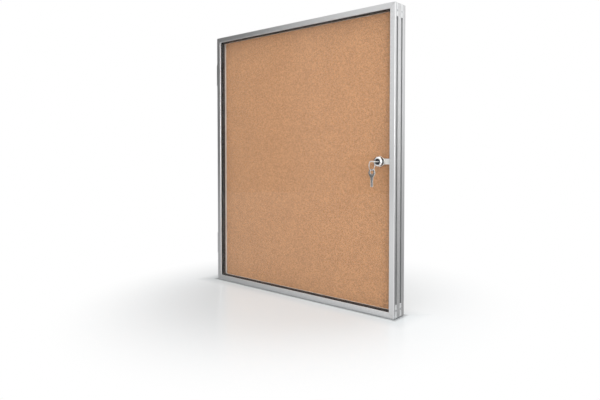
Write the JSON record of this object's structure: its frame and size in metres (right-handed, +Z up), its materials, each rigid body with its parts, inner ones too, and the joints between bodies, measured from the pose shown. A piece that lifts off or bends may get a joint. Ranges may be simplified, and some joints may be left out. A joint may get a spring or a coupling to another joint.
{
  "type": "lockable notice board",
  "caption": "Slim wall notice board with a cork panel behind a hinged, glazed and lockable aluminium door.",
  "frame": {"origin": "on the flat underside of the case, at mid-width and half the board's 46 mm depth behind its front face", "axes": "+X to the viewer's right, +Y from the front of the board to the wall, +Z up"},
  "size_m": [0.5967, 0.0817, 0.7],
  "materials": {
    "anodised_frame": "silver anodised, satin",
    "corner_metal": "pale, satin",
    "steel": "zinc plated",
    "plug_steel": "turned",
    "chrome": "polished chrome",
    "nickel": "nickel plated",
    "black_rubber": "matt black",
    "glass": "clear",
    "cork": "fine natural cork",
    "fibreboard": "raw fibreboard"
  },
  "bodies": {
    "case": {"case_profile_top": "anodised_frame", "case_profile_right": "anodised_frame", "case_profile_bottom": "anodised_frame", "case_profile_left": "anodised_frame", "case_corner_top_right": "corner_metal", "case_screw_top_right_a": "steel", "case_screw_top_right_b": "steel", "case_corner_bottom_right": "corner_metal", "case_screw_bottom_right_a": "steel", "case_screw_bottom_right_b": "steel", "case_corner_bottom_left": "corner_metal", "case_screw_bottom_left_a": "steel", "case_screw_bottom_left_b": "steel", "case_corner_top_left": "corner_metal", "case_screw_top_left_a": "steel", "case_screw_top_left_b": "steel", "cork_sheet": "cork", "backing_board": "fibreboard", "hinge_case_leaf_upper": "anodised_frame", "hinge_case_screw_upper": "steel", "hinge_pin_upper": "steel", "hinge_case_leaf_lower": "anodised_frame", "hinge_case_screw_lower": "steel", "hinge_pin_lower": "steel"},
    "door": {"door_profile_top": "anodised_frame", "door_profile_right": "anodised_frame", "door_profile_bottom": "anodised_frame", "door_profile_left": "anodised_frame", "door_corner_top_right": "corner_metal", "door_screw_top_right_a": "steel", "door_screw_top_right_b": "steel", "door_corner_bottom_right": "corner_metal", "door_screw_bottom_right_a": "steel", "door_screw_bottom_right_b": "steel", "door_corner_bottom_left": "corner_metal", "door_screw_bottom_left_a": "steel", "door_screw_bottom_left_b": "steel", "door_corner_top_left": "corner_metal", "door_screw_top_left_a": "steel", "door_screw_top_left_b": "steel", "glass_pane": "glass", "gasket_top": "black_rubber", "gasket_right": "black_rubber", "gasket_bottom": "black_rubber", "gasket_left": "black_rubber", "hinge_door_leaf_upper": "anodised_frame", "hinge_door_screw_upper": "steel", "hinge_door_leaf_lower": "anodised_frame", "hinge_door_screw_lower": "steel", "lock_housing": "chrome", "lock_front_washer": "black_rubber", "lock_rear_washer": "black_rubber", "lock_nut": "chrome"},
    "lock": {"lock_plug": "plug_steel", "lock_cam": "chrome", "lock_cam_screw": "steel"},
    "key": {"key_in_lock": "nickel"},
    "ring": {"key_ring": "steel"},
    "spare": {"spare_key": "nickel"}
  },
  "joints": [
    {"name": "door_hinge", "type": "hinge", "parent": "case", "child": "door", "pos_m": [-0.2985, -0.0165, 0.35], "axis": [0, 0, -1], "range_deg": [0, 175]},
    {"name": "lock_turn", "type": "hinge", "parent": "door", "child": "lock", "pos_m": [0.2516, -0.02, 0.35], "axis": [0, 1, 0], "range_deg": [0, 90]},
    {"name": "key_slide", "type": "slide", "parent": "lock", "child": "key", "axis": [0, -1, 0], "range_m": [0, 0.0165]},
    {"name": "ring_swing", "type": "hinge", "parent": "key", "child": "ring", "pos_m": [0.2516, -0.0468, 0.351], "axis": [0, 1, 0], "range_deg": [-30, 30]},
    {"name": "spare_key_swing", "type": "hinge", "parent": "ring", "child": "spare", "pos_m": [0.2516, -0.0468, 0.33027], "axis": [0, 1, 0], "range_deg": [-70, 70]}
  ]
}
